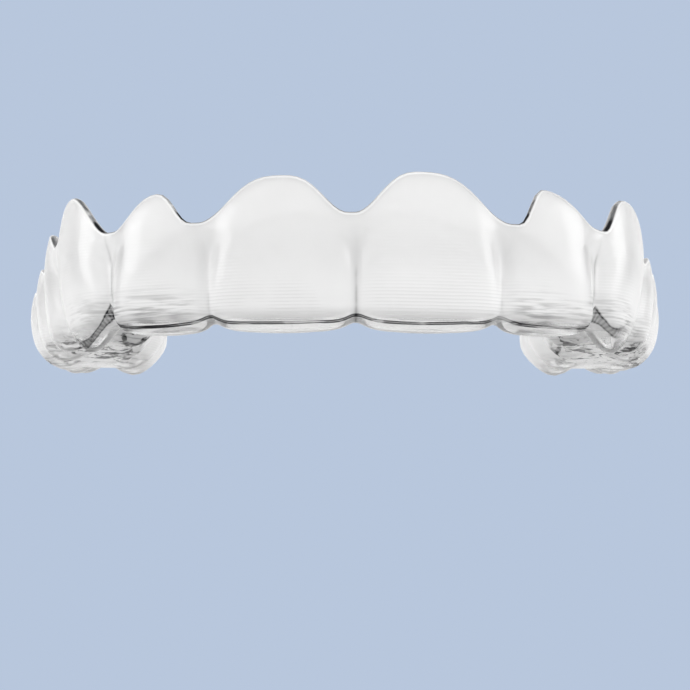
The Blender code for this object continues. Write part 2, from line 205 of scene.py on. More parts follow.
# Level streaks of the painted refraction glints on the undersides lie this far apart
CONTOUR = 0.0004  # from one level streak on the undersides to the next
BUMP_DEPTH = 0.00002
MILKY_COLOURS = ((0.90, 0.90, 0.90), (0.96, 0.96, 0.96))
# The near-black colour of the painted dark reflections and painted shade
NEAR_BLACK = (0.012, 0.012, 0.014)

# Where something on the plastic begins to change and where it has changed fully. These are heights.
LEVEL_LINES_WEAKEN = (0.0020, 0.0085)
RIPPLES_END = (0.0018, 0.0034)
WALLS_BEGIN = (0.0008, 0.0022)
MILKIEST_ENDS = (0.0030, 0.0065)
LOW_LINES_BEGIN = (0.0012, 0.0020)
LOW_LINES_END = (0.0025, 0.0045)
SIDE_STREAKS_ENDS = (0.0016, 0.0040)
# The painted dark reflection line on the cut edge is stronger in these front dips
DIPS_END = (0.0080, 0.0090)  # the trimmed edge's dips at the front
# Heights where the painted crease shade ends
CREASES_END = (0.0036, 0.0048)  # at the contacts up to the laterals
LONG_CREASES_END = (0.0055, 0.0078)  # at those of the canines and further back
SOFT_CREASE_ENDS = (0.0040, 0.0075)  # at the midline

# The same, as distances along the arch from the midline
MIDLINE_ENDS = (0.0020, 0.0040)
LATERALS_BEGIN = (0.0092, 0.0104)
LATERALS_HALFWAY = (0.0120, 0.0135)
CANINES_BEGIN = (0.0156, 0.0164)

# The same, as y on the object
FRONT_ENDS = (-0.014, -0.011)
PREMOLARS_BEGIN = (-0.012, -0.008)
# Where the painted blots, and then the painted streaks, end on the undersides
PREMOLARS_END = (0.002, 0.008)
STREAKS_END = (0.006, 0.010)

# The same, as distances from the trimmed edge
CUT_ENDS = (0.00006, 0.00016)
# The milky bead on the cut edge, a painted highlight line, lies between these
BEAD_BEGINS = (0.00010, 0.00016)
BEAD_ENDS = (0.00020, 0.00030)

# The studio, in metres, watts and degrees
LENS = 48.6
SENSOR = 36.0
AWAY = 0.056  # from the camera to the foremost point of the sheet
CAMERA_X = -0.00178
CAMERA_Z = -0.00674  # below the table, as in the photograph
YAW = 1.1
PITCH = 6.42
PALE = (0.48, 0.57, 0.72)  # the backdrop and the table, as the camera sees them
PALE_IN_PLASTIC = (0.96, 0.96, 0.96)  # both, as the plastic shows them
CEILING = (0.10, 0.10, 0.11)  # of the studio, and its far sides, which only the plastic shows
CEILING_BEGINS = (0.50, 0.70)  # the share of a direction that goes up
SIDES_BEGIN = (0.88, 0.97)  # the share of it that goes sideways
AMBIENT = (0.82, 0.82, 0.82)  # the world as a light
TABLE = (0.9, 0.9, 0.9)  # the table in all other light
TABLE_HALF = 1.5
TABLE_FADES = (0.08, 0.40)  # from the object: where the table begins to fade into the backdrop, and has
LIT_PLACE = (0.0, -0.005, 0.005)  # what the lamps point at
LAMPS = (  # name, place, width, height and power
    ("top", (0.0, -0.10, 0.45), 0.40, 0.30, 0.5),
    ("left_front", (-0.43, -0.18, 0.13), 0.24, 0.24, 0.5),
    ("right_front", (0.44, -0.16, 0.13), 0.24, 0.24, 0.55),
)


def smooth_max(a, b, reach):
    """The larger of two fields, rounded over where they are within reach of each other."""
    near = np.maximum(reach - np.abs(a - b), 0.0)
    return np.maximum(a, b) + near * near / (4.0 * reach)


def smooth_min(a, b, reach):
    """The smaller of the two, rounded over likewise."""
    return -smooth_max(-a, -b, reach)


def smoothstep(value, low, high):
    """0 up to low, 1 from high on, and smooth in between."""
    share = np.clip((value - low) / (high - low), 0.0, 1.0)
    return share * share * (3.0 - 2.0 * share)


def row_of_crowns():
    """All crowns from the wearer's right to the left, each with its place along the arch."""
    right, left = [], []
    reached = 0.0
    for crown in RIGHT_ROW:
        middle = reached + crown.width / 2
        right.append(replace(crown, middle=-middle))
        left.append(replace(crown, side=1, middle=middle, **LEFT_CHANGES.get(crown.name, {})))
        reached += crown.width
    return right[::-1] + left


class Arch:
    """The plan curve through the contact points, by distance from the midline, the wearer's left positive.

    It turns evenly from the middle of one crown to the middle of the next, so it is a chain of arcs."""

    def __init__(self, crowns, step=0.05):
        left = [crown for crown in crowns if crown.side > 0]
        length = left[-1].middle + left[-1].width
        count = int(length / step)
        self.run = np.linspace(0.0, length, count)
        middles = [0.0] + [crown.middle for crown in left]
        turns = [0.0] + [math.radians(crown.turn) for crown in left]
        self.turn = np.interp(self.run, middles, turns)
        between = (self.turn[1:] + self.turn[:-1]) / 2
        steps = np.diff(self.run)
        self.x = np.concatenate([[0.0], np.cumsum(np.cos(between) * steps)])
        self.y = np.concatenate([[0.0], np.cumsum(np.sin(between) * steps)])

    def point(self, along):
        away = np.abs(along)
        x = np.interp(away, self.run, self.x)
        return np.stack([np.sign(along) * x, np.interp(away, self.run, self.y)], axis=-1)

    def tangent(self, along):
        """Unit direction towards the wearer's left."""
        turn = np.interp(np.abs(along), self.run, self.turn) * np.sign(along)
        return np.stack([np.cos(turn), np.sin(turn)], axis=-1)

    def outward(self, along):
        """Unit direction from the palate to the cheek."""
        t = self.tangent(along)
        return np.stack([t[..., 1], -t[..., 0]], axis=-1)


def edge_reach(crown):
    """How far the sheet reaches on each side of the arch at a front tooth's biting edge."""
    return (CANINE_EDGE if crown.tip_slope else EDGE_THICKNESS) / 2 + WALL


def cheek_reach(crown, up):
    """How far the outer face lies from the arch on the cheek side, up the crown from 0 to 1."""
    most = crown.bulge + WALL
    least = edge_reach(crown) if crown.front else (1.0 - FACE_SLOPE) * most
    swell = np.sin(np.clip(up / FULLEST, 0.0, 1.0) * math.pi / 2)
    tuck = GUM_TUCK * np.clip((up - FULLEST) / (1.0 - FULLEST), 0.0, 1.0) ** 2
    return least + (most - least) * swell - tuck


def palate_reach(crown, up):
    """The same on the palate side, where a front tooth is hollow above its edge."""
    most = crown.depth - crown.bulge + WALL
    if not crown.front:
        swell = np.sin(np.clip(up / BACK_FULLEST, 0.0, 1.0) * math.pi / 2)
        return most * (1.0 - BACK_SLOPE + BACK_SLOPE * swell)
    least = edge_reach(crown)
    hollow = CANINE_HOLLOW if crown.tip_slope else INCISOR_HOLLOW
    return least + (most - least) * np.clip(up, 0.0, 1.0) ** hollow


def biting_height(crown, x, y):
    """Height of the outer biting surface above the table at each place on a crown."""
    half_width = crown.width / 2
    if crown.tip_slope:
        away = np.sqrt((x + TIP_AWAY) ** 2 + (y - TIP_OUT) ** 2 + TIP_ROUND**2) - TIP_ROUND
        return crown.lift + crown.tip_slope * away
    if crown.front:
        out = np.abs(x / half_width)
        return crown.lift + EDGE_CURVE * out**EDGE_POWER + CORNER_RISE * out**CORNER_POWER
    height = crown.ridge + CUSP_SLOPE * np.abs(np.abs(x) - RIDGE_INSET * half_width)
    for cusp_x, cusp_y, cusp_z in crown.cusps:
        away = np.sqrt((x - cusp_x) ** 2 + (y - cusp_y) ** 2 + CUSP_ROUND**2) - CUSP_ROUND
        height = smooth_min(height, cusp_z + CUSP_SLOPE * away, CUSP_BLEND)
    return height


def up_the_crown(crown, z):
    """0 at a crown's lowest point and 1 at the peak of its trim line, cheek side."""
    return np.clip((z - crown.lift) / (crown.cheek - crown.lift), 0.0, 1.0)


def squareness(crown, cheek_side):
    """The power of the superellipse that is a crown's plan, on each side of its middle."""
    front_plan = CANINE_PLAN if crown.tip_slope else INCISOR_PLAN
    return np.where(cheek_side, *(front_plan if crown.front else BACK_PLAN))


def crown_place(crown, arch, points):
    """Where points lie in a crown's own plan: x towards the midline and y towards the cheek."""
    middle = np.array([crown.middle])
    plan = points[..., :2] - arch.point(middle)[0]
    return -crown.side * (plan @ arch.tangent(middle)[0]), plan @ arch.outward(middle)[0]


def crown_field(crown, arch, points):
    """Below zero inside the sheet's outer form over one crown, and above zero outside."""
    x, y = crown_place(crown, arch, points)
    z = points[..., 2]
    up = up_the_crown(crown, z)
    cheek = cheek_reach(crown, up)
    palate = palate_reach(crown, up)
    centre = (cheek - palate) / 2
    half_depth = (cheek + palate) / 2
    narrow = 1.0 - GUM_NARROWING * np.clip((up - CONTACTS) / (1.0 - CONTACTS), 0.0, 1.0) ** NARROWING_POWER
    half_width = CROWD * crown.width / 2 * narrow
    power = squareness(crown, y > centre)
    radius = (np.abs(x / half_width) ** power + np.abs((y - centre) / half_depth) ** power) ** (1 / power)
    sides = (radius - 1.0) * (half_width + half_depth) / 2
    return smooth_max(sides, biting_height(crown, x, y) - z, CUSP_ROUND)


def bridge_field(crowns, along, side, away, z):
    """Below zero inside the band that the sheet bridges between the crowns, set back from their faces."""
    middles = np.array([crown.middle for crown in crowns])
    reach = cheek_reach if side > 0 else palate_reach
    groove = CHEEK_GROOVE if side > 0 else PALATE_GROOVE
    faces = np.array([reach(crown, up_the_crown(crown, z)) for crown in crowns])
    notches = [crown.lift + NOTCH + (CANINE_NOTCH if crown.tip_slope else 0.0) for crown in crowns]
    floor = np.interp(along, middles, notches)
    place = np.clip(np.searchsorted(middles, along), 1, len(crowns) - 1)
    share = np.clip((along - middles[place - 1]) / (middles[place] - middles[place - 1]), 0.0, 1.0)
    pick = np.arange(len(along))
    face = faces[place - 1, pick] * (1.0 - share) + faces[place, pick] * share
    set_back = groove + (min(groove, WEB_GROOVE) - groove) * smoothstep(z, WEB_FROM, WEB_TO)
    left_contact, right_contact = (abs(crown.middle) - crown.width / 2 for crown in (crowns[-1], crowns[0]))
    beyond_contact = np.abs(along) - np.where(along > 0, left_contact, right_contact)
    faded = BRIDGE_FADE * smoothstep(beyond_contact, *FADE_PLACES)
    return smooth_max(away - (face - set_back), floor - z, DRAPE) + faded


def trim_height(crowns, along, cheek_side):
    """Height of the trimmed edge, which comes down from a peak over each crown to a dip between two."""
    height = np.zeros(len(along))
    for side in (-1, 1):
        row = sorted((crown for crown in crowns if crown.side == side), key=lambda crown: abs(crown.middle))
        contacts = [abs(crown.middle) + crown.width / 2 for crown in row]
        if cheek_side:
            peaks = [crown.cheek for crown in row]
            dips = [MIDLINE_DIP] + [crown.dip for crown in row]
            places = [-MIDLINE_SHIFT * side]
            places += [contact + crown.dip_shift for contact, crown in zip(contacts, row)]
        else:
            peaks = [crown.palate for crown in row]
            lower = [min(pair) for pair in zip(peaks, peaks[1:] + peaks[-1:])]
            dips = [low - PALATE_DIP for low in [peaks[0], *lower]]
            places = [0.0] + contacts
        away = along * side
        for index, crown in enumerate(row):
            peak_at = abs(crown.middle) - crown.peak_shift
            before = away < peak_at
            span = np.where(before, peak_at - places[index], places[index + 1] - peak_at)
            dip = np.where(before, dips[index], dips[index + 1])
            share = np.clip(np.abs(away - peak_at) / (span * DIP_FROM), 0.0, 1.0)
            wave = 0.5 + 0.5 * np.cos(math.pi * share**crown.peak_breadth)
            here = (away >= places[index]) & (away <= places[index + 1])
            height = np.where(here, dip + (peaks[index] - dip) * wave, height)
    return height


def keel_height(crowns, along):
    """Height of the ribbon's lower edge, from which the rays fan out to the biting surface."""
    middles = [crown.middle for crown in crowns]
    rises = [INCISOR_KEEL if crown.front and not crown.tip_slope else KEEL for crown in crowns]
    heights = [crown.lift + rise for crown, rise in zip(crowns, rises)]
    return np.interp(along, middles, heights)


def stations(crowns):
    """Distances along the arch of the cross-sections, closer together near the grooves."""
    found = []
    for crown in crowns:
        angles = np.linspace(-GATHER, GATHER, COLUMNS + 1) * math.pi
        spread = np.sin(angles) / math.sin(GATHER * math.pi)
        found += list(crown.middle + spread[:-1] * crown.width / 2)
        if crown.tip_slope:
            found.append(crown.middle + crown.side * TIP_AWAY)
    inset = crowns[0].depth / 2
    first = crowns[0].middle - crowns[0].width / 2 + inset
    last = crowns[-1].middle + crowns[-1].width / 2 - inset
    inner = [along for along in sorted(found) if first + END_CLEAR < along < last - END_CLEAR]
    return np.array([first, *inner, last])


@dataclass
class Columns:
    """The columns of the skin, right round the ribbon: cheek side, left end, palate side, right end."""

    places: np.ndarray  # distances along the arch
    sides: np.ndarray  # 1 for the cheek side, -1 for the palate side and 0 round an end
    directions: np.ndarray  # of the rays, in plan
    trims: np.ndarray  # heights of the trimmed edge
    keels: np.ndarray  # the number of the station that each column stands on


def hull_columns(crowns, arch, along):
    """The columns on both sides of the stations at some distances along the arch, and round both ends."""
    out = arch.outward(along)
    cheek = trim_height(crowns, along, True)
    palate = trim_height(crowns, along, False)

    def round_end(index, start, trim_from, trim_to):
        for share in np.linspace(0.0, 1.0, END_COLUMNS + 2)[1:-1]:
            angle = math.pi * share
            turned = np.array([
                start[0] * math.cos(angle) - start[1] * math.sin(angle),
                start[0] * math.sin(angle) + start[1] * math.cos(angle),
            ])
            trim = trim_from + (trim_to - trim_from) * share - END_DIP * math.sin(angle)
            yield along[index], 0, turned, trim, index

    order = range(len(along))
    found = [(along[i], 1, out[i], cheek[i], i) for i in order]
    found += round_end(order[-1], out[-1], cheek[-1], palate[-1])
    found += [(along[i], -1, -out[i], palate[i], i) for i in reversed(order)]
    found += round_end(0, -out[0], palate[0], cheek[0])
    return Columns(*(np.array(values) for values in zip(*found)))


def reach_of_rays(crowns, arch, starts, directions, along, side):
    """How far each ray goes before it leaves the sheet's outer form. Nothing is bridged for side 0."""
    plan_length = np.linalg.norm(directions[:, :2], axis=1)

    def field(distance):
        points = starts + directions * distance[:, None]
        least = np.full(len(points), OUTSIDE)
        for crown in crowns:
            here = np.abs(along - crown.middle) < NEARBY * crown.width
            over = crown_field(crown, arch, points[here])
            least[here] = smooth_min(least[here], over, DRAPE)
        level = distance * plan_length
        for which in (1, -1):
            here = side == which
            if here.any():
                bridge = bridge_field(crowns, along[here], which, level[here], points[here, 2])
                least[here] = smooth_min(least[here], bridge, DRAPE)
        return least

    near = np.zeros(len(starts))
    far = np.full(len(starts), FARTHEST)
    for _ in range(HALVINGS):
        middle = (near + far) / 2
        inside = field(middle) < 0
        near = np.where(inside, middle, near)
        far = np.where(inside, far, middle)
    return (near + far) / 2


def outer_skin(crowns, arch):
    """(points, number of columns and rows, station of each column, marks of the points by name)."""
    along = stations(crowns)
    columns = hull_columns(crowns, arch, along)
    keel_z = keel_height(crowns, along)
    keel_under = keel_z[columns.keels]
    rim = np.array(RIM_ROWS)
    below_rim = columns.trims - rim[-1]
    down = np.linspace(0.0, 1.0, WALL_ROWS + 1)[1:]
    fan = np.arange(1, FLOOR_ROWS) / FLOOR_ROWS * math.pi / 2
    heights = np.hstack([
        columns.trims[:, None] - rim,
        below_rim[:, None] - (below_rim - keel_under)[:, None] * down,
        np.repeat(keel_under[:, None], len(fan), axis=1),
    ])
    dive = np.concatenate([np.zeros(len(rim) + WALL_ROWS), fan])
    count, rows = heights.shape
    starts = np.dstack([np.repeat(arch.point(columns.places)[:, None], rows, axis=1), heights])
    directions = np.dstack([
        columns.directions[:, None, 0] * np.cos(dive),
        columns.directions[:, None, 1] * np.cos(dive),
        np.repeat(-np.sin(dive)[None], count, axis=0),
    ])
    distance = reach_of_rays(
        crowns, arch, starts.reshape(-1, 3), directions.reshape(-1, 3),
        np.repeat(columns.places, rows), np.repeat(columns.sides, rows),
    )
    grid = starts + directions * distance.reshape(count, rows, 1)

    # The rays straight down count as the cheek side, so that the bridging carries on under the trough
    keel_starts = np.column_stack([arch.point(along), keel_z])
    straight_down = np.tile([0.0, 0.0, -1.0], (len(along), 1))
    depth = reach_of_rays(crowns, arch, keel_starts, straight_down, along, np.ones(len(along)))
    bottom = keel_starts + straight_down * depth[:, None]
    marks = skin_marks(crowns, arch, columns, along, grid, bottom)
    return np.concatenate([grid.reshape(-1, 3), bottom]), (count, rows), columns.keels, marks


def skin_marks(crowns, arch, columns, along, grid, bottom):
    """What the material reads at each point, by name: first in the columns and then along the bottom."""
    rows = grid.shape[1]
    from_edge = distance_from_edge(grid)
    all_along = np.concatenate([np.repeat(columns.places, rows), along])
    off, shown = corner_reflection_band(crowns, arch, columns, all_along, grid, bottom)

    def by_column(values):
        return np.concatenate([np.repeat(values, rows), np.zeros(len(bottom))])

    return {
        "from_edge": np.concatenate([from_edge.reshape(-1), np.full(len(bottom), from_edge.max())]) * MM,
        "along": all_along * MM,
        "climb": by_column(climb_of_edge(columns)),
        "contact": by_column(contact_lines(crowns, columns.places) * (columns.sides > 0)),
        "corner_reflection_band": off,
        "corner_reflection_shown": shown,
    }


def distance_from_edge(grid):
    """How far each point of the columns lies from the trimmed edge, measured square to its slope."""
    edge = grid[:, 0]
    slope = np.roll(edge, -1, axis=0) - np.roll(edge, 1, axis=0)
    level = np.linalg.norm(slope[:, :2], axis=1) / np.linalg.norm(slope, axis=1)
    return (grid[:, :1, 2] - grid[:, :, 2]) * level[:, None]


def contact_lines(crowns, places):
    """1 at the contact of two crowns, falling to 0 a little to each side of it."""
    contacts = np.array([crown.middle + crown.width / 2 for crown in crowns[:-1]])
    off = np.abs(places[:, None] - contacts).min(axis=1)
    return 1.0 - smoothstep(off, 0.0, CONTACT_HALF)


def climb_of_edge(columns):
    """1 where the trimmed edge climbs steeply away from the midline, cheek side, beyond the centrals."""
    cheek = columns.sides > 0
    places = columns.places[cheek]
    climb = np.zeros(len(columns.places))
    climb[cheek] = np.gradient(columns.trims[cheek], places) * np.sign(places)
    return smoothstep(climb, *CLIMB_SLOPES) * smoothstep(np.abs(columns.places), *CLIMB_PLACES)


def corner_reflection_band(crowns, arch, columns, along, grid, bottom):
    """Where a painted dark reflection line goes: where the trough's bottom corner shows through the front
    of the sheet, as two marks of each point.

    The first is 0 in the middle of its band and 1 or -1 at the borders, and the second is how far it
    shows. Under an incisor the band lies on the cheek face, and under a canine on the sloping edge."""
    lowest = np.minimum(grid[..., 2].min(axis=1), bottom[columns.keels, 2])
    above = grid[..., 2] - lowest[:, None]
    cheek = (columns.sides > 0)[:, None]
    off = np.where(cheek, (above - CORNER_HEIGHT) / CORNER_HALF_BAND, -OFF_THE_BAND)
    off = np.concatenate([off.reshape(-1), np.full(len(bottom), -OFF_THE_BAND)])
    points = np.concatenate([grid.reshape(-1, 3), bottom])
    shown = np.ones(len(points))
    for crown in crowns:
        if crown.tip_slope:
            x, y = crown_place(crown, arch, points)
            out, turn, half_band, end = CANINE_CORNERS[crown.side]
            sloping = np.clip((y - out + turn * x) / half_band, -OFF_THE_BAND, OFF_THE_BAND)
            border = crown.middle - crown.side * crown.width / 2
            here = smoothstep(crown.side * (along - border), -CORNER_TURN, CORNER_TURN)
            off += (sloping - off) * here
            shown *= 1.0 - here * (1.0 - smoothstep(x, end - CORNER_FADE, end + CORNER_FADE))
    return off, shown


def skin_mesh(points, shape, keels, marks):
    """The open outer skin as a mesh, with the marks of its points as attributes."""
    columns, rows = shape
    low, high = points.min(axis=0), points.max(axis=0)
    points = (points - [(low[0] + high[0]) / 2, (low[1] + high[1]) / 2, low[2]]) * MM
    at = np.arange(columns * rows).reshape(columns, rows)
    after = np.roll(at, -1, axis=0)
    faces = np.stack([at[:, :-1], at[:, 1:], after[:, 1:], after[:, :-1]], axis=-1).reshape(-1, 4).tolist()
    bottom = columns * rows + keels
    next_bottom = np.roll(bottom, -1)
    for c in range(columns):
        corners = [at[c, -1], bottom[c], next_bottom[c], after[c, -1]]
        faces.append(list(dict.fromkeys(int(corner) for corner in corners)))
    mesh = bpy.data.meshes.new("outer_skin")
    mesh.from_pydata(points.tolist(), [], faces)
    for name, values in marks.items():
        attribute = mesh.attributes.new(name, "FLOAT", "POINT")
        attribute.data.foreach_set("value", values.astype(np.float32))
    mesh.update()
    return mesh


class Number:
    """A number in a node tree. Arithmetic on it adds Math nodes to the tree."""

    def __init__(self, tree, socket):
        self.tree = tree
        self.socket = socket

    def math(self, operation, *terms):
        node = self.tree.node("ShaderNodeMath", {"operation": operation}, dict(enumerate(terms)))
        return Number(self.tree, node.outputs[0])

    def __add__(self, other):
        return self.math("ADD", self, other)

    __radd__ = __add__

    def __mul__(self, other):
        return self.math("MULTIPLY", self, other)

    __rmul__ = __mul__

    def __sub__(self, other):
        return self.math("SUBTRACT", self, other)

    def __rsub__(self, other):
        return self.math("SUBTRACT", other, self)

    def __truediv__(self, other):
        return self.math("DIVIDE", self, other)

    def __rtruediv__(self, other):
        return self.math("DIVIDE", other, self)

    def __pow__(self, other):
        return self.math("POWER", self, other)

    def size(self):
        return self.math("ABSOLUTE", self)

    def sine(self):
        return self.math("SINE", self)

    def turns(self, pitch):
        """An angle that grows by a full turn with each pitch."""
        return self * (2 * math.pi / pitch)

    def held(self):
        """Kept between 0 and 1."""
        return self.math("MAXIMUM", self.math("MINIMUM", self, 1.0), 0.0)


class Tree:
    """A node tree whose nodes are all made by one method."""

    def __init__(self, tree):
        self.tree = tree

    def node(self, kind, settings=None, sockets=None):
        """Makes a node of a kind. Its settings come first, and then its sockets."""
        node = self.tree.nodes.new(kind)
        for name, value in (settings or {}).items():
            setattr(node, name, value)
        return self.fill(node, sockets or {})

    def fill(self, node, sockets):
        """Gives the sockets of a node their values or links."""
        for key, value in sockets.items():
            source = value.socket if isinstance(value, Number) else value
            if isinstance(source, bpy.types.NodeSocket):
                self.tree.links.new(source, node.inputs[key])
            else:
                node.inputs[key].default_value = source
        return node

    def own(self, name, sockets):
        """The same for a node that the tree came with."""
        return self.fill(self.tree.nodes[name], sockets)

    def number(self, kind, output, settings=None, sockets=None):
        """A node's output as a number."""
        return Number(self, self.node(kind, settings, sockets).outputs[output])

    def ramp(self, value, low, high):
        """0 up to low, 1 from high on, and smooth in between."""
        return self.number(
            "ShaderNodeMapRange", 0, {"interpolation_type": "SMOOTHSTEP"},
            {"Value": value, "From Min": low, "From Max": high},
        )

    def fade(self, value, low, high):
        """1 up to low, and 0 from high on."""
        return 1 - self.ramp(value, low, high)

    def mix(self, factor, low, high):
        """A colour between two, each a tuple or another node's output."""
        low, high = ((*colour, 1.0) if isinstance(colour, tuple) else colour for colour in (low, high))
        return self.node("ShaderNodeMix", {"data_type": "RGBA"}, {0: factor, 6: low, 7: high}).outputs[2]

    def blend(self, factor, low, high):
        """A shader between two."""
        return self.node("ShaderNodeMixShader", None, {0: factor, 1: low, 2: high}).outputs[0]

    def ray_kinds(self):
        """1 for what the camera sees directly, and 1 for what the plastic reflects or lets through."""
        path = self.node("ShaderNodeLightPath").outputs
        camera, glossy, through = (
            Number(self, path[name]) for name in ("Is Camera Ray", "Is Glossy Ray", "Is Transmission Ray")
        )
        return camera, (glossy + through).held()


def sheet_tree():
    """The Geometry Nodes tree that gives an open outer skin its inner skin and its cut edge."""
    group = bpy.data.node_groups.new("Formed sheet", "GeometryNodeTree")
    group.is_modifier = True
    face = group.interface
    face.new_socket("Outer skin", in_out="INPUT", socket_type="NodeSocketGeometry")
    face.new_socket("Wall", in_out="INPUT", socket_type="NodeSocketFloat")
    face.new_socket("Cut squareness", in_out="INPUT", socket_type="NodeSocketFloat")
    face.new_socket("Plastic", in_out="INPUT", socket_type="NodeSocketMaterial")
    face.new_socket("Sheet", in_out="OUTPUT", socket_type="NodeSocketGeometry")
    tree = Tree(group)
    given = tree.node("NodeGroupInput")
    skin = given.outputs["Outer skin"]
    wall = Number(tree, given.outputs["Wall"])
    power = Number(tree, given.outputs["Cut squareness"])
    half = wall / 2
    from_edge = tree.number(
        "GeometryNodeInputNamedAttribute", "Attribute", {"data_type": "FLOAT"}, {"Name": "from_edge"}
    )
    near = (1 - from_edge / half).held()
    inset = half * (1 - (1 - near**power) ** (1 / power))
    normal = tree.node("GeometryNodeInputNormal").outputs["Normal"]

    def moved(by):
        along = tree.node("ShaderNodeVectorMath", {"operation": "SCALE"}, {0: normal, "Scale": by})
        made = tree.node("GeometryNodeSetPosition", None, {"Geometry": skin, "Offset": along.outputs[0]})
        return made.outputs["Geometry"]

    def marked(geometry, name, value):
        made = tree.node(
            "GeometryNodeStoreNamedAttribute", {"data_type": "FLOAT", "domain": "POINT"},
            {"Geometry": geometry, "Name": name, "Value": value},
        )
        return made.outputs["Geometry"]

    level = tree.number("ShaderNodeSeparateXYZ", "Z", None, {0: normal})
    skin = marked(skin, "facing_down", level * -1)
    outer = marked(moved(inset * -1), "inner", 0.0)
    inner = tree.node("GeometryNodeFlipFaces", None, {"Mesh": marked(moved(inset - wall), "inner", 1.0)})
    join = tree.node("GeometryNodeJoinGeometry")
    group.links.new(inner.outputs[0], join.inputs[0])
    group.links.new(outer, join.inputs[0])
    sockets = {"Geometry": join.outputs[0], "Distance": WELD * MM}
    merged = tree.node("GeometryNodeMergeByDistance", None, sockets)
    smooth = tree.node("GeometryNodeSetShadeSmooth", None, {"Geometry": merged.outputs[0]})
    real = tree.node("GeometryNodeRealizeInstances", None, {"Geometry": smooth.outputs[0]})
    dressed = tree.node(
        "GeometryNodeSetMaterial", None,
        {"Geometry": real.outputs[0], "Material": given.outputs["Plastic"]},
    )
    tree.node("NodeGroupOutput", None, {"Sheet": dressed.outputs[0]})
    return group


class Surface:
    """The places, the marks and the noise on the sheet that its material reads."""

    def __init__(self, tree):
        self.tree = tree
        self.place = tree.node("ShaderNodeTexCoord").outputs["Object"]
        self.height = tree.number("ShaderNodeSeparateXYZ", "Z", None, {0: self.place})
        self.behind = tree.number("ShaderNodeSeparateXYZ", "Y", None, {0: self.place})
        self.along = self.mark("along")
        self.from_edge = self.mark("from_edge")
        self.facing_down = self.mark("facing_down")
        self.outer = 1 - self.mark("inner")
        self.cut = tree.fade(self.from_edge, *CUT_ENDS)
        self.back_teeth = tree.ramp(self.behind, *PREMOLARS_BEGIN)
        self.patches = self.noise(260.0, 3.0)
        self.clouds = self.noise(120.0, 2.0)
        self.layers = (self.height.turns(LAYER) + self.patches * 1.4).sine()

    def mark(self, name):
        """What the points of the sheet carry under that name."""
        return self.tree.number("ShaderNodeAttribute", "Fac", {"attribute_name": name})

    def noise(self, scale, detail, squeeze=1.0, swirl=0.0):
        """Noise from 0 to 1, with scale cells to the metre, squeeze times as many of them in height."""
        spot = self.place
        if squeeze != 1.0:
            sockets = {"Vector": self.place, "Scale": (1.0, 1.0, squeeze)}
            spot = self.tree.node("ShaderNodeMapping", None, sockets).outputs[0]
        sockets = {"Vector": spot, "Scale": scale, "Detail": detail, "Distortion": swirl}
        return self.tree.number("ShaderNodeTexNoise", "Fac", None, sockets)


def relief(surface):
    """Level lines from the mould, ripples near the biting edges and marks of flow on the undersides."""
    tree, height = surface.tree, surface.height
    low_down = tree.fade(height, *LEVEL_LINES_WEAKEN)
    strength = (0.25 + 0.75 * low_down) * tree.ramp(surface.patches, 0.42, 0.7)
    ripples = 6.0 * tree.fade(height, *RIPPLES_END) * surface.noise(900.0, 3.0, 2.5)
    flow = 30.0 * tree.ramp(surface.facing_down, 0.3, 0.6) * surface.noise(420.0, 5.0, 3.5)
    return surface.layers * strength + ripples + flow


def milkiness(surface):
    """Milky over the walls, most low down on them, and in a bead along the trimmed edge that is a painted
    highlight line.
    """
    tree, height, from_edge = surface.tree, surface.height, surface.from_edge
    walls = tree.ramp(height, *WALLS_BEGIN)
    lower_part = tree.fade(height, *MILKIEST_ENDS)
    highlight_bead = tree.ramp(from_edge, *BEAD_BEGINS) * tree.fade(from_edge, *BEAD_ENDS)
    return (0.05 + (0.43 + 0.15 * surface.clouds + 0.25 * lower_part) * walls + 0.2 * highlight_bead).held()


def painted_corner_reflection(surface):
    """Painted reflection of the trough's bottom corner: a broken dark double line under the incisors, a
    barred dark band on a canine.
    """
    tree = surface.tree
    off_band = (surface.mark("corner_reflection_band") + 1.8 * (surface.noise(330.0, 3.0) - 0.5)).size()
    band = tree.fade(off_band, 0.6, 1.0) * surface.outer * surface.mark("corner_reflection_shown")
    double = 0.6 + 0.4 * tree.ramp(off_band, 0.10, 0.45)
    strands = 0.5 + 0.5 * tree.ramp(surface.noise(420.0, 4.0, 9.0), 0.42, 0.50)
    waves = surface.along.turns(RUNG) + 12 * surface.noise(700.0, 2.0)
    bars = 0.38 + 0.17 * tree.ramp(waves.sine(), -0.6, 0.6) + 0.4 * tree.ramp(off_band, 0.35, 0.7)
    on_canine = tree.ramp(surface.along.size(), *CANINES_BEGIN)
    return band * double * strands * (1 - on_canine) + band * bars * on_canine


def painted_underside_reflections(surface):
    """Painted refraction glints on the undersides behind the canines: dark blots and level streaks."""
    tree, behind = surface.tree, surface.behind
    under = tree.ramp(surface.facing_down, 0.5, 0.8) * surface.back_teeth * surface.outer
    premolars = surface.back_teeth * tree.fade(behind, *PREMOLARS_END)
    grain = 0.45 + 0.55 * tree.ramp(surface.noise(2600.0, 3.0), 0.40, 0.55)
    blots = tree.ramp(surface.noise(420.0, 6.0, 2.0, 2.2), 0.54, 0.58) * premolars * grain
    waves = surface.height.turns(CONTOUR) + 11 * surface.noise(280.0, 4.0)
    streaks = tree.ramp(waves.sine(), 0.6, 0.95) * tree.ramp(surface.noise(240.0, 2.0), 0.42, 0.52)
    streaks *= tree.fade(surface.facing_down, 0.93, 0.98) * tree.fade(behind, *STREAKS_END)
    return under * (0.85 * blots + 0.30 * streaks).held()


